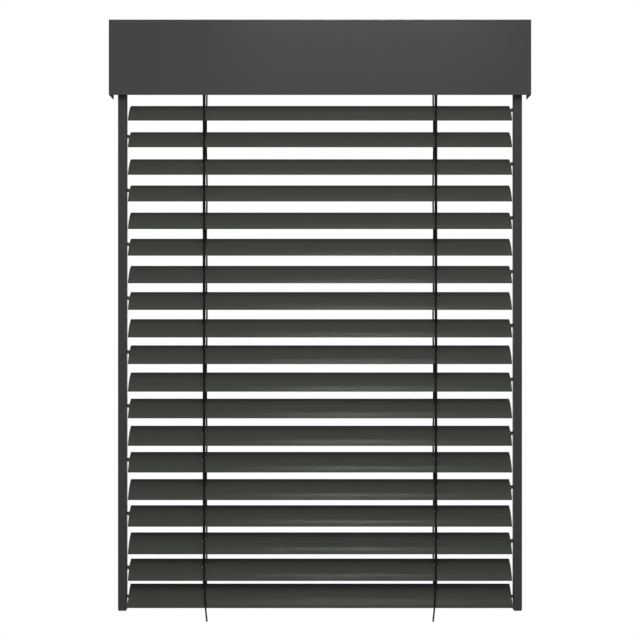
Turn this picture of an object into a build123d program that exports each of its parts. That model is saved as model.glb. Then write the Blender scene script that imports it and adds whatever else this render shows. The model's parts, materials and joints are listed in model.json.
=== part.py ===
from build123d import *
import os
from math import asin, cos, degrees, pi, radians, sin

# Exterior venetian blind in millimetres, lowered, with its slats half closed.
# X runs along the slats, Y = 0 is the wall, the front faces -Y, and Z is up.
# The origin is the centre of the wall bolts of the two head brackets.

# Slats
SLAT_COUNT = 18
SLAT_LENGTH = 993.0
SLAT_WIDTH = 80.0
SLAT_SAG = 7.0
SLAT_THICKNESS = 0.5
SLAT_FRONT_CORNER = 1.0
SLAT_REAR_CORNER = 2.5
SLAT_PITCH = 70.0
PAIR_RISE = 1.2
REST_TILT = 36.0
PIVOT_RISE = 3.0

# Where the slats hang
PIN_DEPTH = 44.0
FIRST_PIVOT_DROP = 193.0
LAST_PIVOT_GAP = 76.0

# Ladders and lift tapes
LADDER_X = 298.8
TAPE_OFFSET = 3.2
TAPE_BACK = 6.5
TAPE_WIDTH = 6.8
TAPE_THICKNESS = 0.35
TAPE_SIDE_ROOM = 0.4
TAPE_SLOT_LENGTH = 14.0
TAPE_SLOT_CORNER = 1.2
CORD_DIAMETER = 3.4
CORD_GAP = 0.3
CORD_BEND = 60.0
CORD_NOSE_GAP = 0.8
CORD_TAIL = 39.0
CORD_NOSE_LEAN = 3.7
CORD_TAIL_LEAN = 7.6

# End clip of a slat and its guide pin
CLIP_LEAF = 0.8
CLIP_REACH = 12.0
CLIP_WIDTH = 20.0
EAR_RADIUS = 4.0
EAR_THICKNESS = 3.3
EAR_WIDTH = 10.0
STACK_GAP = 0.4
STEM_RADIUS = 2.5
PIN_RADIUS = 2.75
COLLAR_RADIUS = 4.0
COLLAR_THICKNESS = 1.0
END_FLOAT = 0.3
RUNNING_CLEARANCE = 0.05
SHOE_LENGTH = 9.0
SHOE_HEIGHT = 9.0
SHOE_CORNER = 1.5
SHOE_CLEARANCE = 0.3

# Guide rails
RAIL_GAP = 5.3
RAIL_WIDTH = 22.3
RAIL_DEPTH = 21.0
RAIL_WALL = 1.8
RAIL_CORNER = 0.8
RAIL_SLOT = 10.0
RAIL_CHANNEL = 13.0
RAIL_UNDERCUT = 1.2
LINER_WALL = 1.2
RAIL_END_DROP = 37.0
FOOT_HEIGHT = 5.0
FOOT_ROUND = 4.0
FOOT_SPIGOT = 15.0

# Holders between the rails and the wall
HOLDER_DROPS = (290.0, 1310.0)
HOLDER_OFFSET = 1.5
HOLDER_WIDTH = 13.0
HOLDER_PLATE_HEIGHT = 66.0
HOLDER_PLATE = 4.0
HOLDER_POST_RADIUS = 5.5
HOLDER_HOLE_RADIUS = 2.75
HOLDER_HOLE_PITCH = 46.0
SADDLE_HEIGHT = 40.0
SADDLE_THICKNESS = 3.0
SADDLE_SCREW_PITCH = 28.0
PLATE_CORNER = 3.0

# Bottom rail
BOTTOM_WIDTH = 80.0
BOTTOM_EDGE_TOP = 6.0
BOTTOM_SAG = 4.0
BOTTOM_UNDERSIDE = 3.5
BOTTOM_CORNER = 3.0
BOTTOM_WALL = 1.6
CAP_THICKNESS = 2.5
CAP_PLUG = 12.0
CAP_FIT = 0.1

# Cover
COVER_SIDE_ROOM = 18.6
COVER_HEIGHT = 194.0
COVER_DEPTH = 90.0
COVER_SHEET = 1.5
COVER_BEND = 2.5
COVER_HEM = 12.0
HEM_GAP = 0.2
END_FLANGE = 14.0
END_WALL_GAP = 10.0
END_ROOM = 0.3

# Head rail and wall brackets
HEAD_WIDTH = 56.0
HEAD_HEIGHT = 46.0
HEAD_TOP = 28.5
HEAD_SHEET = 1.2
HEAD_LIP = 7.0
HEAD_BEND = 2.0
WINDOW_WIDTH = 49.0
WINDOW_LENGTH = 34.0
BRACKET_X = 360.0
BRACKET_WIDTH = 40.0
BRACKET_THICKNESS = 3.0
BRACKET_HOOK = 10.0
BRACKET_DROP = 25.0
BOLT_HOLE_RADIUS = 3.25
BOLT_PITCH_Z = 30.0

# Drive
SHAFT_Z = 8.0
SHAFT_FLATS = 12.0
SHAFT_END = 340.0
MOTOR_LENGTH = 260.0
MOTOR_WIDTH = 42.0
MOTOR_HEIGHT = 42.0
MOTOR_CORNER = 8.0
MOTOR_COLLAR_RADIUS = 13.0
MOTOR_COLLAR_LENGTH = 10.0
SOCKET_RADIUS = 7.6
SOCKET_DEPTH = 14.0
SOCKET_FLOAT = 1.0
SPOOL_SLEEVE_RADIUS = 9.0
SPOOL_SLEEVE_LENGTH = 48.0
SPOOL_HUB_RADIUS = 10.5
SPOOL_FLANGE_RADIUS = 16.5
SPOOL_FLANGE = 1.5
SPOOL_SIDE_ROOM = 0.8
SHAFT_FIT = 0.05
DRUM_RADIUS = 20.5
DRUM_CHEEK = 3.0
DRUM_SIDE_ROOM = 1.5
DRUM_BAR_RADIUS = 1.7
DRUM_BAR_CIRCLE = 18.6
HOUSING_LENGTH = 46.0
HOUSING_WIDTH = 50.0
HOUSING_WALL = 3.0
HOUSING_SIDE = 1.5
HOUSING_RISE = 14.0
HOUSING_SIDE_DROP = 10.0

# Screws
SCREW_RADIUS = 2.0
SCREW_LENGTH = 7.0
SCREW_HEAD_RADIUS = 3.8
SCREW_HEAD = 2.2
SCREW_FIT = 0.05
SCREW_CROWN_SHARE = 0.6
SCREW_RIM_SHARE = 0.4
BRACKET_SCREW_PITCH = 20.0
END_SCREW_PITCH = 50.0
OVERRUN = 5.0

# Worked out places
pin_y = -PIN_DEPTH
slat_end = SLAT_LENGTH / 2
slat_radius = (SLAT_WIDTH**2 / 4 + SLAT_SAG**2) / (2 * SLAT_SAG)
arc_centre = -PIVOT_RISE - slat_radius
edge_rise = -PIVOT_RISE - SLAT_SAG
tape_x = LADDER_X + TAPE_OFFSET
pivot_z = [-FIRST_PIVOT_DROP - SLAT_PITCH * i + PAIR_RISE * (i % 2) for i in range(SLAT_COUNT)]
bottom_pivot_z = pivot_z[-1] - LAST_PIVOT_GAP
rail_face_x = slat_end + RAIL_GAP
rail_outer_x = rail_face_x + RAIL_WIDTH
rail_middle_x = rail_face_x + RAIL_WIDTH / 2
cover_width = 2 * (rail_outer_x + COVER_SIDE_ROOM)
head_floor_z = HEAD_TOP - HEAD_HEIGHT
rail_bottom_z = bottom_pivot_z - RAIL_END_DROP
cover_top_z = HEAD_TOP + BRACKET_THICKNESS + COVER_SHEET
cover_bottom_z = cover_top_z - COVER_HEIGHT
ear_face_x = slat_end + STACK_GAP
collar_x = ear_face_x + EAR_THICKNESS + END_FLOAT
shoe_width = RAIL_SLOT - 2 * LINER_WALL - 2 * SHOE_CLEARANCE
shoe_x = rail_face_x + RAIL_WALL
rail_rear_y = pin_y + RAIL_DEPTH / 2
holder_x = rail_middle_x + HOLDER_OFFSET


def group(pieces):
    """Several separate solids as one shape."""
    return Compound([solid for piece in pieces for solid in piece.solids()])


def both_sides(piece):
    """The right hand piece and its mirror image on the left."""
    return group([piece, mirror(piece, about=Plane.YZ)])


def tilted(piece, z):
    """A piece modelled flat about its pin axis, turned to the rest tilt and hung at height z."""
    return Pos(0, pin_y, z) * Rot(REST_TILT, 0, 0) * piece


def rest_point(v, n, z):
    """Place in Y and Z of a point v behind and n above the pin axis at height z, in the rest tilt."""
    tilt = radians(REST_TILT)
    return pin_y + v * cos(tilt) - n * sin(tilt), z + v * sin(tilt) + n * cos(tilt)


def along_x(section, length):
    """A Y-Z section drawn out along X, centred on the middle of the blind."""
    return extrude(Plane.YZ * section, amount=length / 2, both=True)


def from_x(section, start, length):
    """A Y-Z section drawn out along X from a start."""
    return Pos(start, 0, 0) * extrude(Plane.YZ * section, amount=length)


def turned(points):
    """A solid turned about X from a closed outline of (x, radius) points."""
    return revolve(make_face(Polyline(*points, close=True)), axis=Axis.X)


def rod(radius, start, end):
    """A round rod along X."""
    return Pos((start + end) / 2, 0, 0) * Rot(0, 90, 0) * Cylinder(radius, end - start)


def arched_band(width, thickness):
    """Section of a strip that follows the slat's arch, with its middle under the pin axis."""
    half = degrees(asin(width / 2 / slat_radius))
    arcs = []
    for radius in (slat_radius + thickness / 2, slat_radius - thickness / 2):
        ends = [(radius * sin(radians(a)), arc_centre + radius * cos(radians(a))) for a in (-half, 0, half)]
        arcs.append(ThreePointArc(*ends))
    top, under = arcs
    return make_face([top, Line(top @ 1, under @ 1), under, Line(under @ 0, top @ 0)])


def slat(clip_side):
    """Arched strip with rounded corners and two tape slots, and a clip with a bored ear at one end."""
    plan = Rectangle(SLAT_LENGTH, SLAT_WIDTH)
    plan = fillet(plan.vertices().group_by(Axis.Y)[0], SLAT_FRONT_CORNER)
    plan = fillet(plan.vertices().group_by(Axis.Y)[-1], SLAT_REAR_CORNER)
    slot = RectangleRounded(TAPE_WIDTH + 2 * TAPE_SIDE_ROOM, TAPE_SLOT_LENGTH, TAPE_SLOT_CORNER)
    plan -= Pos(tape_x, TAPE_BACK) * slot
    plan -= Pos(-tape_x, TAPE_BACK) * slot
    prism = extrude(Pos(0, 0, edge_rise - OVERRUN) * plan, amount=SLAT_SAG + 2 * OVERRUN)
    strip = along_x(arched_band(SLAT_WIDTH + OVERRUN, SLAT_THICKNESS), SLAT_LENGTH) & prism
    leaves = arched_band(CLIP_WIDTH, SLAT_THICKNESS + 2 * CLIP_LEAF)
    clip = from_x(leaves, slat_end - CLIP_REACH, CLIP_REACH + STACK_GAP)
    ear = Circle(EAR_RADIUS) + Pos(0, -PIVOT_RISE / 2) * Rectangle(EAR_WIDTH, PIVOT_RISE + SLAT_THICKNESS)
    ear -= Circle(STEM_RADIUS + RUNNING_CLEARANCE)
    clip += from_x(ear, ear_face_x, EAR_THICKNESS)
    clip -= rod(STEM_RADIUS + RUNNING_CLEARANCE, slat_end, ear_face_x + EAR_THICKNESS)
    return strip + (clip if clip_side > 0 else mirror(clip, about=Plane.YZ))


def guide_pin(start_x):
    """Pin that a slat or the bottom rail turns on, with the shoe that slides in the guide rail."""
    face = collar_x + COLLAR_THICKNESS
    pin = turned([
        (start_x, 0), (start_x, STEM_RADIUS), (collar_x, STEM_RADIUS), (collar_x, COLLAR_RADIUS),
        (face, COLLAR_RADIUS), (face, PIN_RADIUS), (shoe_x, PIN_RADIUS), (shoe_x, 0)])
    return pin + from_x(RectangleRounded(shoe_width, SHOE_HEIGHT, SHOE_CORNER), shoe_x, SHOE_LENGTH)


def hung_pin(pin, side, z):
    """A guide pin at its height on the right (1) or left (-1)."""
    return Pos(0, pin_y, z) * (pin if side > 0 else mirror(pin, about=Plane.YZ))


def bottom_section():
    """Outline of the bottom rail about its pin axis: arched top, flat underside, round noses."""
    half = BOTTOM_WIDTH / 2
    front, rear = (-half, BOTTOM_EDGE_TOP), (half, BOTTOM_EDGE_TOP)
    low_front, low_rear = (-half, -BOTTOM_UNDERSIDE), (half, -BOTTOM_UNDERSIDE)
    top = ThreePointArc(front, (0, BOTTOM_EDGE_TOP + BOTTOM_SAG), rear)
    outline = make_face([top, Line(rear, low_rear), Line(low_rear, low_front), Line(low_front, front)])
    return fillet(outline.vertices(), BOTTOM_CORNER)


def bottom_rail():
    """Hollow extrusion between the two end caps."""
    outline = bottom_section()
    return along_x(outline - offset(outline, -BOTTOM_WALL), SLAT_LENGTH - 2 * CAP_THICKNESS)


def bottom_rail_cap():
    """End cap with a plug inside the extrusion and a boss that the pin turns in."""
    outline = bottom_section()
    plate_x = slat_end - CAP_THICKNESS
    cap = from_x(outline, plate_x, CAP_THICKNESS)
    plug = offset(outline, -BOTTOM_WALL - CAP_FIT)
    plug -= offset(outline, -2 * BOTTOM_WALL - CAP_FIT)
    cap += from_x(plug, plate_x - CAP_PLUG, CAP_PLUG)
    cap += rod(EAR_RADIUS, slat_end, ear_face_x + EAR_THICKNESS)
    return cap - rod(STEM_RADIUS + RUNNING_CLEARANCE, plate_x, ear_face_x + EAR_THICKNESS)


def rail_section():
    """Plan of the right hand guide rail: slotted channel on the inside, hollow chamber on the outside."""
    section = Pos(rail_middle_x, pin_y) * RectangleRounded(RAIL_WIDTH, RAIL_DEPTH, RAIL_CORNER)
    section -= Pos(rail_face_x + RAIL_CHANNEL / 2, pin_y) * Rectangle(RAIL_CHANNEL, RAIL_SLOT)
    undercut = RAIL_CHANNEL - RAIL_WALL
    section -= Pos(rail_face_x + RAIL_WALL + undercut / 2, pin_y) * Rectangle(
        undercut, RAIL_SLOT + 2 * RAIL_UNDERCUT)
    chamber = RAIL_WIDTH - RAIL_CHANNEL - 2 * RAIL_WALL
    chamber_x = rail_outer_x - RAIL_WALL - chamber / 2
    section -= Pos(chamber_x, pin_y) * Rectangle(chamber, RAIL_DEPTH - 2 * RAIL_WALL)
    return section


def guide_rail():
    """Right hand rail from the head rail down to its foot, with blind holes for the holders' screws."""
    height = head_floor_z - rail_bottom_z - FOOT_HEIGHT
    rail = extrude(Pos(0, 0, rail_bottom_z + FOOT_HEIGHT) * rail_section(), amount=height)
    bite = SCREW_LENGTH - SADDLE_THICKNESS
    hole = Rot(90, 0, 0) * Cylinder(SCREW_RADIUS + SCREW_FIT, 2 * (bite + SCREW_FIT))
    for x, z in saddle_screws():
        rail -= Pos(x, rail_rear_y, z) * hole
    return rail


def rail_liner():
    """Plastic liner of the right hand rail's slot: two legs with hooks behind the lips, and a back."""
    depth = RAIL_CHANNEL
    width = RAIL_SLOT - 2 * LINER_WALL
    section = Pos(depth / 2, 0) * Rectangle(depth, RAIL_SLOT)
    section += Pos(RAIL_WALL + (depth - RAIL_WALL) / 2, 0) * Rectangle(
        depth - RAIL_WALL, RAIL_SLOT + 2 * RAIL_UNDERCUT)
    section -= Pos((depth - LINER_WALL) / 2, 0) * Rectangle(depth - LINER_WALL, width)
    height = head_floor_z - rail_bottom_z - FOOT_HEIGHT
    return extrude(Pos(rail_face_x, pin_y, rail_bottom_z + FOOT_HEIGHT) * section, amount=height)


def rail_foot():
    """Plug under the right hand rail, rounded below the slot, with a spigot in the chamber."""
    foot = extrude(Pos(rail_middle_x, pin_y, rail_bottom_z) * RectangleRounded(
        RAIL_WIDTH, RAIL_DEPTH, RAIL_CORNER), amount=FOOT_HEIGHT)
    foot = fillet(foot.edges().filter_by(Axis.Y).sort_by(Axis.Z)[:2].sort_by(Axis.X)[0], FOOT_ROUND)
    chamber = RAIL_WIDTH - RAIL_CHANNEL - 2 * RAIL_WALL
    spigot = Rectangle(chamber - 2 * SHOE_CLEARANCE, RAIL_DEPTH - 2 * RAIL_WALL - 2 * SHOE_CLEARANCE)
    spigot_x = rail_outer_x - RAIL_WALL - chamber / 2
    return foot + extrude(Pos(spigot_x, pin_y, rail_bottom_z + FOOT_HEIGHT) * spigot, amount=FOOT_SPIGOT)


def saddle_screws():
    """Places in X and Z of the screws that hold the right hand rail to its holders."""
    half = SADDLE_SCREW_PITCH / 2
    return [(holder_x, -drop + side * half) for drop in HOLDER_DROPS for side in (-1, 1)]


def rail_holder(drop):
    """Wall plate, waisted post and saddle that stand a rail off the wall."""
    plate = RectangleRounded(HOLDER_WIDTH, HOLDER_PLATE_HEIGHT, PLATE_CORNER)
    for side in (-1, 1):
        plate -= Pos(0, side * HOLDER_HOLE_PITCH / 2) * Circle(HOLDER_HOLE_RADIUS)
    holder = extrude(Plane.XZ * plate, amount=HOLDER_PLATE)
    saddle = RectangleRounded(HOLDER_WIDTH, SADDLE_HEIGHT, PLATE_CORNER)
    for side in (-1, 1):
        saddle -= Pos(0, side * SADDLE_SCREW_PITCH / 2) * Circle(SCREW_RADIUS + SCREW_FIT)
    reach = -rail_rear_y
    holder += Pos(0, -reach + SADDLE_THICKNESS, 0) * extrude(Plane.XZ * saddle, amount=SADDLE_THICKNESS)
    post = reach - HOLDER_PLATE - SADDLE_THICKNESS
    holder += Pos(0, -HOLDER_PLATE - post / 2, 0) * Rot(90, 0, 0) * Cylinder(HOLDER_POST_RADIUS, post)
    return Pos(holder_x, 0, -drop) * holder


def cover():
    """Folded sheet: top, front and a closed hem that stops short of the end plates."""
    inset = COVER_SHEET / 2
    front = -COVER_DEPTH + inset
    top = cover_top_z - inset
    path = FilletPolyline((0, top), (front, top), (front, cover_bottom_z), radius=COVER_BEND)
    sheet = along_x(trace(path, COVER_SHEET), cover_width)
    hem_width = 2 * COVER_SHEET + HEM_GAP
    hem = Pos(-COVER_DEPTH + hem_width / 2, cover_bottom_z + COVER_HEM / 2) * Rectangle(hem_width, COVER_HEM)
    slit = COVER_HEM - COVER_SHEET
    hem -= Pos(front + inset + HEM_GAP / 2, cover_bottom_z + COVER_SHEET + slit / 2) * Rectangle(HEM_GAP, slit)
    sheet += along_x(hem, cover_width - 2 * END_FLANGE - 2 * END_ROOM)
    hole = Cylinder(SCREW_RADIUS + SCREW_FIT, 2 * COVER_SHEET + OVERRUN)
    for x, y in top_screws():
        sheet -= Pos(x, y, cover_top_z) * hole
        sheet -= Pos(-x, y, cover_top_z) * hole
    return sheet


def end_plate():
    """Right hand end of the cover, with flanges behind the front and under the top."""
    height = COVER_HEIGHT - COVER_SHEET
    depth = COVER_DEPTH - COVER_SHEET - END_WALL_GAP
    outline = Pos(-END_WALL_GAP - depth / 2, cover_bottom_z + height / 2) * Rectangle(depth, height)
    corner = outline.vertices().group_by(Axis.X)[0].sort_by(Axis.Y)[-1]
    outline = fillet(corner, COVER_BEND)
    inner_x = cover_width / 2 - END_FLANGE
    tray = from_x(outline, inner_x, END_FLANGE)
    tray -= from_x(Pos(COVER_SHEET, -COVER_SHEET) * outline, inner_x - COVER_SHEET, END_FLANGE)
    for x, y in top_screws():
        tray -= Pos(x, y, cover_top_z) * Cylinder(SCREW_RADIUS + SCREW_FIT, 4 * COVER_SHEET + OVERRUN)
    return tray


def head_rail():
    """Channel with inward lips, open at the top, with a window in its floor under each drum."""
    half = HEAD_WIDTH / 2 - HEAD_SHEET / 2
    low, high = head_floor_z + HEAD_SHEET / 2, HEAD_TOP - HEAD_SHEET / 2
    front, rear = pin_y - half, pin_y + half
    path = FilletPolyline((front + HEAD_LIP, high), (front, high), (front, low), (rear, low), (rear, high),
                          (rear - HEAD_LIP, high), radius=HEAD_BEND)
    rail = along_x(trace(path, HEAD_SHEET), 2 * rail_outer_x)
    window = Box(WINDOW_LENGTH, WINDOW_WIDTH, HEAD_HEIGHT)
    for side in (-1, 1):
        rail -= Pos(side * tape_x, pin_y, head_floor_z) * window
    return rail


def head_bracket():
    """Angle on the wall whose arm lies over the head rail and hooks round its front."""
    top = HEAD_TOP + BRACKET_THICKNESS
    front = pin_y - HEAD_WIDTH / 2
    tip = front - BRACKET_THICKNESS
    section = make_face(Polyline(
        (0, -BRACKET_DROP), (0, top), (tip, top), (tip, HEAD_TOP - BRACKET_HOOK),
        (front, HEAD_TOP - BRACKET_HOOK), (front, HEAD_TOP), (-BRACKET_THICKNESS, HEAD_TOP),
        (-BRACKET_THICKNESS, -BRACKET_DROP), close=True))
    bracket = Pos(BRACKET_X, 0, 0) * along_x(section, BRACKET_WIDTH)
    for side in (-1, 1):
        hole = Rot(90, 0, 0) * Cylinder(BOLT_HOLE_RADIUS, 2 * BRACKET_THICKNESS + OVERRUN)
        bracket -= Pos(BRACKET_X, 0, side * BOLT_PITCH_Z / 2) * hole
    for x, y in top_screws():
        bracket -= Pos(x, y, top) * Cylinder(SCREW_RADIUS + SCREW_FIT, 2 * BRACKET_THICKNESS + OVERRUN)
    return bracket


def motor():
    """Casing on the floor of the head rail, with a socket for a shaft at each end."""
    low = head_floor_z + HEAD_SHEET
    outline = Pos(pin_y, low + MOTOR_HEIGHT / 2) * RectangleRounded(MOTOR_WIDTH, MOTOR_HEIGHT, MOTOR_CORNER)
    reach = MOTOR_LENGTH / 2 + MOTOR_COLLAR_LENGTH
    casing = along_x(outline, MOTOR_LENGTH)
    casing += Pos(0, pin_y, SHAFT_Z) * rod(MOTOR_COLLAR_RADIUS, -reach, reach)
    for start, end in ((reach - SOCKET_DEPTH, reach), (-reach, -reach + SOCKET_DEPTH)):
        casing -= Pos(0, pin_y, SHAFT_Z) * rod(SOCKET_RADIUS, start, end)
    return casing


def hexagon(flats):
    """Hexagon section of the shaft, or of a bore on it."""
    return RegularPolygon(flats / 2, 6, major_radius=False)


def drive_shaft():
    """Right hand hexagon shaft, from the motor's socket to past the spool."""
    start = MOTOR_LENGTH / 2 + MOTOR_COLLAR_LENGTH - SOCKET_DEPTH + SOCKET_FLOAT
    return from_x(Pos(pin_y, SHAFT_Z) * hexagon(SHAFT_FLATS), start, SHAFT_END - start)


def tape_spool():
    """Flanged spool on a sleeve, bored to fit the shaft."""
    sleeve = SPOOL_SLEEVE_LENGTH / 2
    hub = TAPE_WIDTH / 2 + SPOOL_SIDE_ROOM
    rim = hub + SPOOL_FLANGE
    spool = rod(SPOOL_SLEEVE_RADIUS, -sleeve, sleeve) + rod(SPOOL_HUB_RADIUS, -rim, rim)
    for start, end in ((-rim, -hub), (hub, rim)):
        spool += rod(SPOOL_FLANGE_RADIUS, start, end)
    spool -= along_x(hexagon(SHAFT_FLATS + 2 * SHAFT_FIT), SPOOL_SLEEVE_LENGTH + OVERRUN)
    return Pos(tape_x, pin_y, SHAFT_Z) * spool


def tilt_drum():
    """Two cheeks that turn on the spool's sleeve, joined by the bars that the ladder strings hang from."""
    inner = TAPE_WIDTH / 2 + SPOOL_SIDE_ROOM + SPOOL_FLANGE + DRUM_SIDE_ROOM
    outer = inner + DRUM_CHEEK
    drum = rod(DRUM_RADIUS, -outer, -inner) + rod(DRUM_RADIUS, inner, outer)
    drum -= rod(SPOOL_SLEEVE_RADIUS + RUNNING_CLEARANCE, -outer, outer)
    for side in (-1, 1):
        drum += Pos(0, side * DRUM_BAR_CIRCLE, 0) * rod(DRUM_BAR_RADIUS, -outer, outer)
    return Pos(tape_x, pin_y, SHAFT_Z) * drum


def bearing_housing():
    """Frame on the floor of the head rail whose end walls carry the spool's sleeve."""
    low = head_floor_z + HEAD_SHEET
    height = SHAFT_Z + HOUSING_RISE - low
    side_height = height - HOUSING_RISE - HOUSING_SIDE_DROP
    outer = Rectangle(HOUSING_LENGTH, HOUSING_WIDTH)
    ring = outer - Rectangle(HOUSING_LENGTH - 2 * HOUSING_WALL, HOUSING_WIDTH - 2 * HOUSING_SIDE)
    ends = outer - Rectangle(HOUSING_LENGTH - 2 * HOUSING_WALL, HOUSING_WIDTH + OVERRUN)
    housing = extrude(ring, amount=side_height) + extrude(ends, amount=height)
    bore = rod(SPOOL_SLEEVE_RADIUS + RUNNING_CLEARANCE, -HOUSING_LENGTH, HOUSING_LENGTH)
    housing -= Pos(0, 0, SHAFT_Z - low) * bore
    return Pos(tape_x, pin_y, low) * housing


def screw():
    """Pan head screw along -Z, with its head standing on Z = 0."""
    return revolve(Plane.XZ * make_face(Polyline(
        (0, SCREW_HEAD), (SCREW_CROWN_SHARE * SCREW_HEAD_RADIUS, SCREW_HEAD),
        (SCREW_HEAD_RADIUS, SCREW_RIM_SHARE * SCREW_HEAD), (SCREW_HEAD_RADIUS, 0), (SCREW_RADIUS, 0),
        (SCREW_RADIUS, -SCREW_LENGTH), (0, -SCREW_LENGTH), close=True)), axis=Axis.Z)


def top_screws():
    """Places in X and Y of the right hand screws through the cover's top."""
    end_x = cover_width / 2 - END_FLANGE / 2
    rows = [(BRACKET_X, BRACKET_SCREW_PITCH), (end_x, END_SCREW_PITCH)]
    return [(x, pin_y + side * pitch / 2) for x, pitch in rows for side in (-1, 1)]


def right_screws():
    """Screws of the right hand half: cover to bracket and end plate, and holders to rail."""
    pieces = [Pos(x, y, cover_top_z) * screw() for x, y in top_screws()]
    behind = rail_rear_y + SADDLE_THICKNESS
    pieces += [Pos(x, behind, z) * Rot(-90, 0, 0) * screw() for x, z in saddle_screws()]
    return group(pieces)


def lift_tape(side):
    """Tape from the rear of the spool through the slots to the top of the bottom rail."""
    half = TAPE_THICKNESS / 2
    top_y = pin_y + SPOOL_HUB_RADIUS + CORD_GAP + half
    tape_y, bend_z = rest_point(TAPE_BACK, -PIVOT_RISE, pivot_z[0])
    tilt = radians(REST_TILT)
    crown = BOTTOM_EDGE_TOP + BOTTOM_SAG
    landing = (tape_y - pin_y + crown * sin(tilt)) / cos(tilt)
    fall = BOTTOM_SAG * (2 * landing / BOTTOM_WIDTH)**2
    end_z = rest_point(landing, crown - fall, bottom_pivot_z)[1] + CORD_GAP
    section = make_face(Polyline(
        (top_y - half, SHAFT_Z), (top_y + half, SHAFT_Z), (tape_y + half, bend_z), (tape_y + half, end_z),
        (tape_y - half, end_z), (tape_y - half, bend_z), close=True))
    return Pos(side * tape_x, 0, 0) * along_x(section, TAPE_WIDTH)


def string(name, points):
    """Round string pulled taut along straight runs, with an arc where it turns round an edge."""
    radii = [CORD_BEND] * (len(points) - 2)
    path = FilletPolyline(*points, radius=radii)
    start = Plane(path @ 0, z_dir=path % 0)
    tube = sweep(start * Circle(CORD_DIAMETER / 2), path=path)
    section = pi * CORD_DIAMETER**2 / 4
    print(name, "length", round(path.length, 1), "radii", radii,
          "volume share", round(tube.volume / (section * path.length), 4))
    return tube


def drum_knot_z():
    """Height where the ladder strings leave the bars of the tilt drum."""
    return SHAFT_Z - DRUM_BAR_RADIUS - CORD_GAP


def front_cord(side):
    """Front ladder string: drum, front edges of the slats, nose of the bottom rail and a bare tail."""
    x = side * LADDER_X
    stand_off = CORD_GAP + CORD_DIAMETER / 2
    edge_y, first_z = rest_point(-SLAT_WIDTH / 2, edge_rise + SLAT_THICKNESS / 2, pivot_z[0])
    last_z = first_z + pivot_z[-1] - pivot_z[0]
    nose_y, nose_z = rest_point(BOTTOM_CORNER - BOTTOM_WIDTH / 2, BOTTOM_EDGE_TOP - BOTTOM_CORNER, bottom_pivot_z)
    nose_y -= BOTTOM_CORNER + CORD_NOSE_GAP + CORD_DIAMETER / 2
    return string("front cord", [
        (x, pin_y - DRUM_BAR_CIRCLE, drum_knot_z()),
        (x, edge_y - stand_off, first_z),
        (x, edge_y - stand_off, last_z),
        (x - side * CORD_NOSE_LEAN, nose_y, nose_z),
        (x - side * CORD_TAIL_LEAN, nose_y, nose_z - CORD_TAIL)])


def rear_cord(side):
    """Rear ladder string: drum, rear edges of the slats and the rear nose of the bottom rail."""
    x = side * LADDER_X
    stand_off = CORD_GAP + CORD_DIAMETER / 2
    edge_y, first_z = rest_point(SLAT_WIDTH / 2, edge_rise - SLAT_THICKNESS / 2, pivot_z[0])
    last_z = first_z + pivot_z[-1] - pivot_z[0]
    nose_y, nose_z = rest_point(BOTTOM_WIDTH / 2 - BOTTOM_CORNER, BOTTOM_EDGE_TOP - BOTTOM_CORNER, bottom_pivot_z)
    nose_y += BOTTOM_CORNER + CORD_NOSE_GAP + CORD_DIAMETER / 2
    return string("rear cord", [
        (x, pin_y + DRUM_BAR_CIRCLE, drum_knot_z()),
        (x, edge_y + stand_off, first_z),
        (x, edge_y + stand_off, last_z),
        (x, nose_y, nose_z)])


nodes = {
    "cover": cover(),
    "end_plates": both_sides(end_plate()),
    "head_rail": head_rail(),
    "head_brackets": both_sides(head_bracket()),
    "right_guide_rail": guide_rail(),
    "left_guide_rail": mirror(guide_rail(), about=Plane.YZ),
    "rail_liners": both_sides(rail_liner()),
    "rail_feet": both_sides(rail_foot()),
    "rail_holders": both_sides(group([rail_holder(drop) for drop in HOLDER_DROPS])),
    "screws": both_sides(right_screws()),
    "motor": motor(),
    "bearing_housings": both_sides(bearing_housing()),
    "drive_shafts": both_sides(drive_shaft()),
    "tape_spools": both_sides(tape_spool()),
    "tilt_drums": both_sides(tilt_drum()),
    "bottom_rail": tilted(bottom_rail(), bottom_pivot_z),
    "bottom_rail_caps": tilted(both_sides(bottom_rail_cap()), bottom_pivot_z),
    "bottom_rail_pins": group([
        hung_pin(guide_pin(slat_end - CAP_THICKNESS), side, bottom_pivot_z) for side in (-1, 1)]),
    "left_front_cord": front_cord(-1),
    "right_front_cord": front_cord(1),
    "left_rear_cord": rear_cord(-1),
    "right_rear_cord": rear_cord(1),
    "left_lift_tape": lift_tape(-1),
    "right_lift_tape": lift_tape(1),
}

# Guide pins sit on the right of the first slat, on the left of the second, and so on in turn.
slats = {side: slat(side) for side in (-1, 1)}
slat_pin = guide_pin(ear_face_x)
for number, z in enumerate(pivot_z, start=1):
    pin_side = 1 if number % 2 else -1
    nodes[f"slat_{number:02d}"] = tilted(slats[pin_side], z)
    nodes[f"guide_pin_{number:02d}"] = hung_pin(slat_pin, pin_side, z)

os.makedirs("parts", exist_ok=True)
for name, piece in nodes.items():
    export_step(piece, f"parts/{name}.step")
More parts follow.
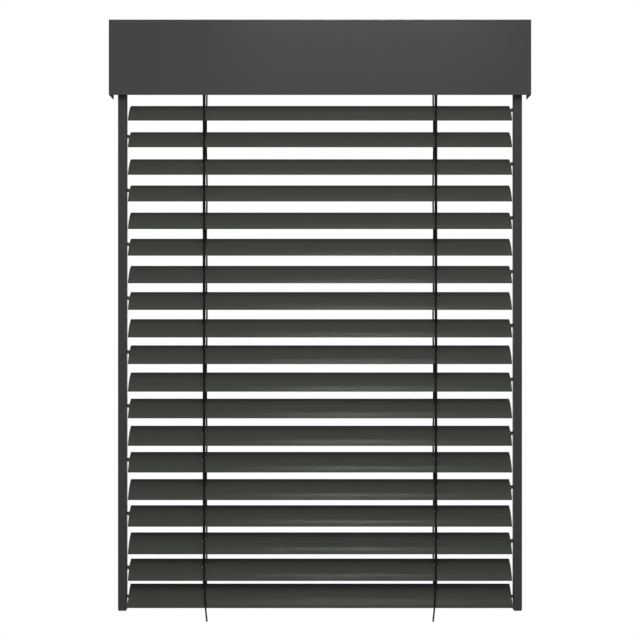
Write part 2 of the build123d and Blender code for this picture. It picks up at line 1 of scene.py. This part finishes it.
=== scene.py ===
import json
import math
import bpy
import numpy as np
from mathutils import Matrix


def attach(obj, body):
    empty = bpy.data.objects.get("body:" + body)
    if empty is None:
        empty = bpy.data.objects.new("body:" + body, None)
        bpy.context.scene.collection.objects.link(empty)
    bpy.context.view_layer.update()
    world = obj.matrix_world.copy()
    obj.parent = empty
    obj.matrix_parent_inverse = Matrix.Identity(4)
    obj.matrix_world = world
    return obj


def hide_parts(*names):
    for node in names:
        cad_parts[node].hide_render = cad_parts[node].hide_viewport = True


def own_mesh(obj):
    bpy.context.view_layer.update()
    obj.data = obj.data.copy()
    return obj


# Exterior venetian blind: finishes, ladder strings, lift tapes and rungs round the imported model.
# Metres, +Z up, front towards -Y, wall at Y = 0.
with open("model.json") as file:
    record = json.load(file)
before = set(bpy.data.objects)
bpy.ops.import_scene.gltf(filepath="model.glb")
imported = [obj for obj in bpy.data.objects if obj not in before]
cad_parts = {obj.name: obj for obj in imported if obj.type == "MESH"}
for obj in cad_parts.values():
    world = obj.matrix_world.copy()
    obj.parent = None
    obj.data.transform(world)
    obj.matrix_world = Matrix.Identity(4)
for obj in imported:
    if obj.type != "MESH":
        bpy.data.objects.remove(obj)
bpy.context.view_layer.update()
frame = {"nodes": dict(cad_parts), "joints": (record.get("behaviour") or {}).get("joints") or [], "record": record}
nodes = frame["nodes"]
joints = {joint["name"]: joint for joint in frame["joints"]}
SIDES = (("left", -1), ("right", 1))

# View of the photograph
CAMERA_PLACE = (0.0, -3.834, -0.7396)
SENSOR_WIDTH = 36.0
FOCAL_PIXELS = 1457.3
IMAGE_PIXELS = 640

# Stage: a white room, and a round floor that fades to white between two shares of its radius
WHITE = (1, 1, 1, 1)
SEEN_LEVEL = 1.0
FLOOR_Z = -1.85
FLOOR_RADIUS = 1.15
FLOOR_CENTRE_Y = -0.044
FLOOR_FADE_SHARES = (0.3, 0.97)
FLOOR_TONE = (0.86, 0.86, 0.86, 1)
FLOOR_RINGS = 24
FLOOR_SPOKES = 72

# Cords: order and steps of the smooth line along a route, and the sides of a tube
SPLINE_ORDER = 3
SPLINE_STEPS = 12
STRING_SIDES = 10

# Ladder strings: half spacing, thickness and the route of a right hand string from the drum down
STRING_X = 0.2988
STRING_DIAMETER = 0.0044
FRONT_ROUTE = [
    (0.0, -0.0626, 0.0060), (0.0, -0.0717, -0.2044), (0.0, -0.0726, -0.2244), (0.0, -0.0726, -0.2444),
    (0.0, -0.0726, -0.8200), (0.0, -0.0726, -1.3932), (0.0, -0.0726, -1.4132), (-0.0011, -0.0756, -1.4330),
    (-0.0037, -0.0817, -1.4771), (-0.0052, -0.0817, -1.4930), (-0.0076, -0.0817, -1.5161)]
REAR_ROUTE = [
    (0.0, -0.0254, 0.0060), (-0.0019, -0.0060, -0.1579), (-0.0010, -0.0036, -0.1778), (-0.0002, -0.0036, -0.1978),
    (0.0003, -0.0036, -0.2311), (0.0002, -0.0036, -0.3017), (-0.0018, -0.0036, -0.3723),
    (-0.0017, -0.0036, -0.4429), (0.0009, -0.0036, -0.5135), (-0.0018, -0.0036, -0.5841),
    (-0.0002, -0.0036, -0.6547), (-0.0018, -0.0036, -0.7253), (-0.0014, -0.0036, -0.7959),
    (0.0006, -0.0036, -0.8665), (0.0, -0.0036, -0.9371), (-0.0009, -0.0036, -1.0077),
    (-0.0015, -0.0036, -1.0783), (0.0005, -0.0036, -1.1489), (-0.0001, -0.0036, -1.2195),
    (-0.0013, -0.0036, -1.2901), (-0.0012, -0.0036, -1.3466), (-0.0011, -0.0036, -1.3666),
    (-0.0009, -0.0056, -1.3865), (-0.0005, -0.0103, -1.4336)]

# Lift tapes: half spacing, section and the line from the spool to the bottom rail as (Y, Z) points
TAPE_X = 0.3020
TAPE_WIDTH = 0.0075
TAPE_THICKNESS = 0.00035
TAPE_MIDDLE_SHARE = 0.5
SELVEDGE_POWER = 8
TAPE_LINE = [(-0.0330, 0.0080), (-0.0370, -0.1916), (-0.0370, -1.4406)]
TAPE_ROWS = 240
TAPE_COLUMNS = 13

# Rungs under the slats: half spacing, thickness, and a line from string to string across a level slat
SLAT_COUNT = 18
REST_TILT = math.radians(36.0)
RUNG_X = 0.2974
RUNG_DIAMETER = 0.0006
RUNG_ROUTE = [
    (0.0435, -0.0112), (0.0400, -0.0107), (0.0300, -0.0075), (0.0200, -0.0053), (0.0100, -0.0040), (0.0, -0.0036),
    (-0.0100, -0.0040), (-0.0200, -0.0053), (-0.0300, -0.0075), (-0.0400, -0.0107), (-0.0418, -0.0112)]

# Dark and light tone of each finish, as 8 bit display values. Cover, slat and rail tones are one anthracite colour,
# each set lighter or darker as painted light and shade for the light that part gets
COVER_TONES = ((65, 67, 64), (68, 70, 67))
SLAT_TONES = ((70, 73, 68), (73, 76, 71))
RAIL_TONES = ((62, 64, 61), (65, 67, 64))
PLASTIC_TONES = ((30, 30, 30), (38, 38, 38))
ZINC_TONES = ((158, 162, 165), (192, 196, 198))
CASING_TONES = ((140, 143, 146), (162, 165, 168))
BRAID_TONES = ((8, 8, 8), (26, 26, 26))
WEAVE_TONES = ((14, 14, 14), (32, 32, 31))

# Noise detail of a tone and of a fine relief
TONE_DETAIL = 3.0
RELIEF_DETAIL = 2.0

# Powder coat: scale of the tone's cloud, the orange peel's part in gloss and bump, and the tint of its shine
CLOUD_SCALE = 9.0
PEEL_GLOSS = 0.05
PEEL_STRENGTH = 0.12
PEEL_DEPTH = 0.0002
COAT_TINT = (0.5, 0.5, 0.5, 1.0)

# Moulded plastic: scales of the flow marks and the spark texture, and the spark's part in gloss and bump
FLOW_SCALE = 60.0
SPARK_SCALE = 1400.0
SPARK_GLOSS = 0.08
SPARK_STRENGTH = 0.2
SPARK_DEPTH = 0.0001

# Galvanised steel and drawn casing: scales of the spangle and of the draw lines, and their ranges of roughness
SPANGLE_SCALE = 140.0
SPANGLE_ROUGHNESS = (0.32, 0.5)
DRAW_SCALES = (4.0, 700.0, 700.0)
DRAW_ROUGHNESS = (0.28, 0.45)

# Braid and weave: threads round or across, threads per metre, and their bump and roughness
BRAID_ROUND = 4.0
BRAID_PER_METRE = 900.0
BRAID_STRENGTH = 0.5
BRAID_DEPTH = 0.0003
BRAID_ROUGHNESS = 0.85
WARP_COUNT = 9
WEFT_PER_METRE = 1100
WEAVE_STRENGTH = 0.4
WEAVE_DEPTH = 0.0002
WEAVE_ROUGHNESS = 0.8
TEXTILE_SPECULAR = 0.1

# Light: name, place, aim, size, power, spread in degrees, and whether matt and mirror rays take it
WORLD_LEVEL = 0.2
LAMPS = [
    ("key_softbox", (0.10, -2.50, 0.05), (0.0, -0.05, -0.40), (1.80, 1.00), 38.5, 180, True, False),
    ("near_softbox", (0.10, -1.80, 0.60), (0.0, -0.05, -0.70), (1.40, 1.00), 12.0, 180, True, False),
    ("left_softbox", (-2.80, 0.50, -0.74), (0.0, -0.05, -0.74), (1.40, 1.40), 22.0, 180, True, True),
    ("right_softbox", (2.80, 0.50, -0.74), (0.0, -0.05, -0.74), (1.40, 1.40), 22.0, 180, True, True),
    ("rear_softbox", (0.0, 2.60, -1.10), (0.0, -0.05, -0.74), (1.80, 1.40), 40.0, 180, True, True),
    ("top_softbox", (0.0, -0.045, 0.50), (0.0, -0.045, 0.0), (1.20, 0.06), 2.5, 60, True, False),
    ("slat_glint", (0.13, -0.62, 1.05), (0.10, -0.24, -1.35), (0.50, 0.25), 0.48, 22, False, True),
    ("cover_glint", (0.12, -0.45, 0.50), (0.12, -0.09, 0.05), (0.70, 0.20), 1.5, 26, False, True)]


def add_mesh(name, points, faces, material, uv=None):
    """A smooth mesh object at the origin from whole arrays of points and quads, with one uv pair per point."""
    mesh = bpy.data.meshes.new(name)
    mesh.from_pydata(points.tolist(), [], faces.tolist())
    mesh.polygons.foreach_set("use_smooth", np.full(len(mesh.polygons), True))
    if uv is not None:
        layer = mesh.uv_layers.new(name="UVMap")
        corner = np.empty(len(mesh.loops), dtype=np.int32)
        mesh.loops.foreach_get("vertex_index", corner)
        layer.data.foreach_set("uv", uv[corner].astype(np.float32).ravel())
    mesh.materials.append(material)
    mesh.update()
    piece = bpy.data.objects.new(name, mesh)
    bpy.context.scene.collection.objects.link(piece)
    return piece


def grid_faces(rows, columns):
    """Quads between neighbouring rows of a grid whose last column joins its first."""
    row = np.arange(rows - 1)[:, None]
    column = np.arange(columns)[None, :]
    following = (column + 1) % columns
    first = row * columns
    quads = np.stack([first + column, first + following, first + columns + following, first + columns + column], -1)
    return quads.reshape(-1, 4)


def spline_points(name, route):
    """Points of the smooth NURBS line that has the route as its control points."""
    curve = bpy.data.curves.new(name + "_line", "CURVE")
    curve.dimensions = "3D"
    curve.resolution_u = SPLINE_STEPS
    spline = curve.splines.new("NURBS")
    spline.points.add(len(route) - 1)
    for point, place in zip(spline.points, route):
        point.co = (*place, 1.0)
    spline.order_u = SPLINE_ORDER
    spline.use_endpoint_u = True
    line = bpy.data.objects.new(name + "_line", curve)
    bpy.context.scene.collection.objects.link(line)
    bpy.context.view_layer.update()
    mesh = bpy.data.meshes.new_from_object(line.evaluated_get(bpy.context.evaluated_depsgraph_get()))
    points = np.empty(3 * len(mesh.vertices))
    mesh.vertices.foreach_get("co", points)
    bpy.data.objects.remove(line)
    bpy.data.curves.remove(curve)
    bpy.data.meshes.remove(mesh)
    return points.reshape(-1, 3)


def tube(name, path, radius, material):
    """Round tube: at each path point a circle in the plane across the path, from the X direction made square
    to the tangent and their cross product; the two ends are closed by a point."""
    tangent = np.gradient(path, axis=0)
    tangent /= np.linalg.norm(tangent, axis=1, keepdims=True)
    side = np.array([1.0, 0.0, 0.0]) - tangent * tangent[:, :1]
    side /= np.linalg.norm(side, axis=1, keepdims=True)
    other = np.cross(tangent, side)
    turn = np.linspace(0, 2 * np.pi, STRING_SIDES, endpoint=False)
    ring = side[:, None] * np.cos(turn)[:, None] + other[:, None] * np.sin(turn)[:, None]
    points = path[:, None] + radius * ring
    ends = np.repeat(path[[0, -1]], STRING_SIDES, axis=0).reshape(2, STRING_SIDES, 3)
    points = np.concatenate([ends[:1], points, ends[1:]])
    run = np.concatenate([[0], np.cumsum(np.linalg.norm(np.diff(path, axis=0), axis=1))])
    run = np.concatenate([run[:1], run, run[-1:]])
    across = np.linspace(0, 1, STRING_SIDES)
    uv = np.stack(np.broadcast_arrays(across[None, :], run[:, None]), -1).reshape(-1, 2)
    return add_mesh(name, points.reshape(-1, 3), grid_faces(len(points), STRING_SIDES), material, uv)


def add_node(tree, kind, inputs=None, **settings):
    """A shader node with its settings, each input linked to a socket or set to a value."""
    made = tree.nodes.new(kind)
    for key, value in settings.items():
        setattr(made, key, value)
    for key, value in (inputs or {}).items():
        if isinstance(value, bpy.types.NodeSocket):
            tree.links.new(value, made.inputs[key])
        else:
            made.inputs[key].default_value = value
    return made


def math_node(tree, operation, first, second=None):
    """Output of a sum, a product or another operation on one or two values."""
    inputs = {0: first} if second is None else {0: first, 1: second}
    return add_node(tree, "ShaderNodeMath", inputs, operation=operation).outputs[0]


def noise(tree, place, scale, detail):
    """Output of a noise at a place, from 0 to 1."""
    return add_node(tree, "ShaderNodeTexNoise", {"Vector": place, "Scale": scale, "Detail": detail}).outputs["Fac"]


def grey(red, green, blue):
    """Linear colour from 8 bit display values."""
    shares = np.array([red, green, blue]) / 255
    return (*np.where(shares > 0.04045, ((shares + 0.055) / 1.055) ** 2.4, shares / 12.92).tolist(), 1.0)


def shader(name):
    """A material with its node tree and its surface shader."""
    material = bpy.data.materials.new(name)
    material.use_nodes = True
    return material, material.node_tree, material.node_tree.nodes["Principled BSDF"]


def object_place(tree):
    """Place in the object's own frame."""
    return add_node(tree, "ShaderNodeTexCoord").outputs["Object"]


def uv_place(tree):
    """Place in the uv map of a cord or tape: across it, and along it in metres."""
    return add_node(tree, "ShaderNodeUVMap", uv_map="UVMap").outputs["UV"]


def set_tone(tree, surface, share, tones):
    """Colour of a surface between a dark and a light tone."""
    dark, light = (grey(*tone) for tone in tones)
    tone = add_node(tree, "ShaderNodeMix", {"Factor": share, "A": dark, "B": light}, data_type="RGBA")
    tree.links.new(tone.outputs["Result"], surface.inputs["Base Color"])


def set_roughness(tree, surface, share, low, high):
    """Roughness of a surface between two values."""
    rough = add_node(tree, "ShaderNodeMapRange", {"Value": share, "To Min": low, "To Max": high})
    tree.links.new(rough.outputs["Result"], surface.inputs["Roughness"])


def set_bump(tree, surface, height, strength, depth):
    """Fine relief of a surface."""
    bump = add_node(tree, "ShaderNodeBump", {"Height": height, "Strength": strength, "Distance": depth})
    tree.links.new(bump.outputs["Normal"], surface.inputs["Normal"])


def powder_coat(name, tones, roughness, shine, grain):
    """Satin powder coat: a faint cloud between two close tones, a metallic share as shine, and an orange peel
    of one grain as gloss and bump."""
    material, tree, surface = shader(name)
    place = object_place(tree)
    set_tone(tree, surface, noise(tree, place, CLOUD_SCALE, TONE_DETAIL), tones)
    peel = noise(tree, place, grain, RELIEF_DETAIL)
    set_roughness(tree, surface, peel, roughness - PEEL_GLOSS, roughness + PEEL_GLOSS)
    set_bump(tree, surface, peel, PEEL_STRENGTH, PEEL_DEPTH)
    surface.inputs["Metallic"].default_value = shine
    surface.inputs["Specular IOR Level"].default_value = 0.0
    surface.inputs["Specular Tint"].default_value = COAT_TINT
    return material


def moulded_plastic(name, roughness):
    """Moulded plastic: a faint flow mark between two close tones, and a fine spark texture as gloss and bump."""
    material, tree, surface = shader(name)
    place = object_place(tree)
    set_tone(tree, surface, noise(tree, place, FLOW_SCALE, TONE_DETAIL), PLASTIC_TONES)
    spark = noise(tree, place, SPARK_SCALE, RELIEF_DETAIL)
    set_roughness(tree, surface, spark, roughness - SPARK_GLOSS, roughness + SPARK_GLOSS)
    set_bump(tree, surface, spark, SPARK_STRENGTH, SPARK_DEPTH)
    return material


def zinc_steel(name):
    """Galvanised steel: spangle cells of two greys that differ in gloss."""
    material, tree, surface = shader(name)
    spangle = add_node(tree, "ShaderNodeTexVoronoi", {"Vector": object_place(tree), "Scale": SPANGLE_SCALE})
    cell = add_node(tree, "ShaderNodeSeparateColor", {"Color": spangle.outputs["Color"]}).outputs["Red"]
    set_tone(tree, surface, cell, ZINC_TONES)
    set_roughness(tree, surface, cell, *SPANGLE_ROUGHNESS)
    surface.inputs["Metallic"].default_value = 1.0
    return material


def drawn_aluminium(name):
    """Extruded casing: draw lines along X from a noise stretched that way, as tone and gloss."""
    material, tree, surface = shader(name)
    stretched = add_node(tree, "ShaderNodeMapping", {"Vector": object_place(tree), "Scale": DRAW_SCALES})
    lines = noise(tree, stretched.outputs["Vector"], 1.0, TONE_DETAIL)
    set_tone(tree, surface, lines, CASING_TONES)
    set_roughness(tree, surface, lines, *DRAW_ROUGHNESS)
    surface.inputs["Metallic"].default_value = 1.0
    return material


def textile(name, phases_of, tones, strength, depth, roughness):
    """Matt textile: the product of the sine waves of two phases in its own uv, as tone and bump."""
    material, tree, surface = shader(name)
    waves = [math_node(tree, "SINE", phase) for phase in phases_of(tree)]
    threads = math_node(tree, "MULTIPLY", waves[0], waves[1])
    share = add_node(tree, "ShaderNodeMapRange", {"Value": threads, "From Min": -1.0, "From Max": 1.0})
    set_tone(tree, surface, share.outputs["Result"], tones)
    set_bump(tree, surface, share.outputs["Result"], strength, depth)
    surface.inputs["Roughness"].default_value = roughness
    surface.inputs["Specular IOR Level"].default_value = TEXTILE_SPECULAR
    return material


def braid_phases(tree):
    """Phases of two crossing families of slanted threads, one leaning each way round the string."""
    place = uv_place(tree)
    phases = []
    for lean in (1.0, -1.0):
        scales = (BRAID_ROUND * lean, BRAID_PER_METRE, 1.0)
        turned = add_node(tree, "ShaderNodeMapping", {"Vector": place, "Scale": scales}).outputs["Vector"]
        parts = add_node(tree, "ShaderNodeSeparateXYZ", {"Vector": turned}).outputs
        phases.append(math_node(tree, "MULTIPLY", math_node(tree, "ADD", parts["X"], parts["Y"]), 2 * math.pi))
    return phases


def weave_phases(tree):
    """Phases of the warp threads across the tape and the weft threads along it."""
    parts = add_node(tree, "ShaderNodeSeparateXYZ", {"Vector": uv_place(tree)}).outputs
    return [math_node(tree, "MULTIPLY", parts["X"], 2 * math.pi * WARP_COUNT),
            math_node(tree, "MULTIPLY", parts["Y"], 2 * math.pi * WEFT_PER_METRE)]


# Finishes of the imported pieces by material slot; slats, bottom rail and cover have coats of their own, whose
# tones, lighter or darker than the rails', are painted light and shade
cover_coat = powder_coat("cover_powder_coat", COVER_TONES, roughness=0.45, shine=0.1, grain=700.0)
slat_coat = powder_coat("slat_coil_coat", SLAT_TONES, roughness=0.26, shine=0.06, grain=900.0)
bottom_coat = powder_coat("bottom_rail_powder_coat", SLAT_TONES, roughness=0.34, shine=0.05, grain=700.0)
rail_coat = powder_coat("rail_powder_coat", RAIL_TONES, roughness=0.45, shine=0.06, grain=700.0)
plastic = moulded_plastic("black_moulding", roughness=0.5)
galvanised = zinc_steel("galvanised_steel")
casing = drawn_aluminium("motor_casing")
string_braid = textile("black_braid", braid_phases, BRAID_TONES, BRAID_STRENGTH, BRAID_DEPTH, BRAID_ROUGHNESS)
tape_weave = textile("black_tape_weave", weave_phases, WEAVE_TONES, WEAVE_STRENGTH, WEAVE_DEPTH, WEAVE_ROUGHNESS)

SLOT_FINISHES = {"anthracite_coat": rail_coat, "black_plastic": plastic, "zinc_steel": galvanised,
                 "motor_casing": casing, "black_textile": tape_weave}
for part in frame["record"]["subparts"]:
    finish = SLOT_FINISHES[part["material_slot"]]
    if part["node"].startswith("slat"):
        finish = slat_coat
    elif part["node"] == "bottom_rail":
        finish = bottom_coat
    elif part["node"] in ("cover", "end_plates"):
        finish = cover_coat
    mesh = nodes[part["node"]].data
    mesh.materials.clear()
    mesh.materials.append(finish)


def gather(piece):
    """Gives a hanging piece a mesh of its own."""
    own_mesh(piece)


def ladder_string(side_name, side, place, route):
    """One string of a ladder: a tube on the route's spline, mirrored for the left side, in place of the model's
    cord."""
    points = spline_points(f"{side_name}_{place}", [(side * (STRING_X + x), y, z) for x, y, z in route])
    piece = tube(f"{side_name}_{place}_string", points, STRING_DIAMETER / 2, string_braid)
    node = f"{side_name}_{place}_cord"
    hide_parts(node)
    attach(piece, f"{place}_cords")
    gather(piece)


def lift_tape(side_name, side):
    """Woven tape: rows evenly spaced in height on the line between its points; each row is a closed flat ring,
    out along the front and back along the rear, thinner in the middle than at its two selvedges."""
    line_y, line_z = np.array(TAPE_LINE).T
    z = np.linspace(line_z[0], line_z[-1], TAPE_ROWS)
    y = np.interp(-z, -line_z, line_y)
    across = np.linspace(-1, 1, TAPE_COLUMNS)
    across = np.concatenate([across, across[::-1]])
    facing = np.repeat([-1.0, 1.0], TAPE_COLUMNS)
    swell = TAPE_MIDDLE_SHARE + (1 - TAPE_MIDDLE_SHARE) * across ** SELVEDGE_POWER
    thick = facing * TAPE_THICKNESS / 2 * swell
    x = side * TAPE_X + across * TAPE_WIDTH / 2
    points = np.stack(np.broadcast_arrays(x[None, :], y[:, None] + thick[None, :], z[:, None]), -1)
    uv = np.stack(np.broadcast_arrays((across[None, :] + 1) / 2, -z[:, None]), -1)
    piece = add_mesh(f"{side_name}_tape", points.reshape(-1, 3), grid_faces(TAPE_ROWS, 2 * TAPE_COLUMNS),
                     tape_weave, uv.reshape(-1, 2))
    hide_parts(f"{side_name}_lift_tape")
    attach(piece, "frame")
    gather(piece)


def rung(number, side_name, side):
    """Thin cord of a ladder under one slat, tied to the front and rear string: a tube on the spline of the
    route, turned with the slat's rest tilt about its pin."""
    body = f"slat_{number:02d}"
    pin_x, pin_y, pin_z = joints[body + "_tilt"]["pos_m"]
    lean, lift = math.cos(REST_TILT), math.sin(REST_TILT)
    route = [(pin_x + side * RUNG_X, pin_y - lean * out - lift * up, pin_z - lift * out + lean * up)
             for out, up in RUNG_ROUTE]
    points = spline_points(f"{body}_{side_name}", route)
    piece = tube(f"{body}_{side_name}_rung", points, RUNG_DIAMETER / 2, string_braid)
    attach(piece, body)


for side_name, side in SIDES:
    ladder_string(side_name, side, "front", FRONT_ROUTE)
    ladder_string(side_name, side, "rear", REAR_ROUTE)
    lift_tape(side_name, side)
    for number in range(1, SLAT_COUNT + 1):
        rung(number, side_name, side)


def add_camera():
    """Level camera in front of the blind, with the photograph's field of view."""
    data = bpy.data.cameras.new("photo_camera")
    data.sensor_width = SENSOR_WIDTH
    data.lens = SENSOR_WIDTH * FOCAL_PIXELS / IMAGE_PIXELS
    camera = bpy.data.objects.new("photo_camera", data)
    camera.location = CAMERA_PLACE
    camera.rotation_euler = (math.radians(90), 0, 0)
    bpy.context.scene.collection.objects.link(camera)
    bpy.context.scene.camera = camera


def seen_directly(tree):
    """A socket that is 1 for rays from the camera and for mirror and glass rays, and 0 for others."""
    path = add_node(tree, "ShaderNodeLightPath").outputs
    camera_or_mirror = math_node(tree, "MAXIMUM", path["Is Camera Ray"], path["Is Glossy Ray"])
    return math_node(tree, "MAXIMUM", camera_or_mirror, path["Is Transmission Ray"])


def add_world():
    """White where it is seen, and a softer white where it lights."""
    world = bpy.data.worlds.new("white_studio")
    bpy.context.scene.world = world
    world.use_nodes = True
    tree = world.node_tree
    tree.nodes.clear()
    light = add_node(tree, "ShaderNodeBackground", {"Strength": WORLD_LEVEL, "Color": WHITE})
    white = add_node(tree, "ShaderNodeBackground", {"Strength": SEEN_LEVEL, "Color": WHITE})
    mix = add_node(tree, "ShaderNodeMixShader", {0: seen_directly(tree), 1: light.outputs[0], 2: white.outputs[0]})
    add_node(tree, "ShaderNodeOutputWorld", {"Surface": mix.outputs[0]})


def floor_finish():
    """Pale matt floor that turns, with the distance from its middle, into the white that is seen round it."""
    material = bpy.data.materials.new("pale_floor")
    material.use_nodes = True
    tree = material.node_tree
    tree.nodes.clear()
    middle = (0.0, FLOOR_CENTRE_Y, FLOOR_Z)
    reach = add_node(tree, "ShaderNodeVectorMath", {0: object_place(tree), 1: middle}, operation="DISTANCE")
    start, end = (share * FLOOR_RADIUS for share in FLOOR_FADE_SHARES)
    fade = add_node(tree, "ShaderNodeMapRange",
                    {"Value": reach.outputs["Value"], "From Min": start, "From Max": end}).outputs["Result"]
    share = math_node(tree, "MULTIPLY", fade, seen_directly(tree))
    lit = add_node(tree, "ShaderNodeBsdfDiffuse", {"Color": FLOOR_TONE})
    white = add_node(tree, "ShaderNodeEmission", {"Strength": SEEN_LEVEL, "Color": WHITE})
    mix = add_node(tree, "ShaderNodeMixShader", {0: share, 1: lit.outputs[0], 2: white.outputs[0]})
    add_node(tree, "ShaderNodeOutputMaterial", {"Surface": mix.outputs[0]})
    return material


def add_floor():
    """Round floor below the blind: rings of points round its middle."""
    radii = np.linspace(0.0, 1.0, FLOOR_RINGS) * FLOOR_RADIUS
    turn = np.linspace(0, 2 * np.pi, FLOOR_SPOKES, endpoint=False)
    points = np.stack([radii[:, None] * np.cos(turn), FLOOR_CENTRE_Y + radii[:, None] * np.sin(turn),
                       np.full((FLOOR_RINGS, FLOOR_SPOKES), FLOOR_Z)], -1)
    floor = add_mesh("floor", points.reshape(-1, 3), grid_faces(FLOOR_RINGS, FLOOR_SPOKES), floor_finish())


def add_light(name, place, aim, size, power, spread, matt, mirror):
    """Soft rectangular lamp at a place, turned to face a point, for matt light, for reflections or for both."""
    data = bpy.data.lights.new(name, "AREA")
    data.shape = "RECTANGLE"
    data.size, data.size_y = size
    data.energy = power
    data.spread = math.radians(spread)
    lamp = bpy.data.objects.new(name, data)
    lamp.visible_camera = False
    lamp.visible_diffuse = matt
    lamp.visible_glossy = mirror
    lamp.location = place
    reach = np.subtract(aim, place)
    flat = math.hypot(reach[0], reach[1])
    lamp.rotation_euler = (math.atan2(flat, -reach[2]), 0, math.atan2(-reach[0], reach[1]))
    bpy.context.scene.collection.objects.link(lamp)


add_camera()
add_world()
add_floor()
for lamp in LAMPS:
    add_light(*lamp)
bpy.context.scene.view_settings.view_transform = "Standard"
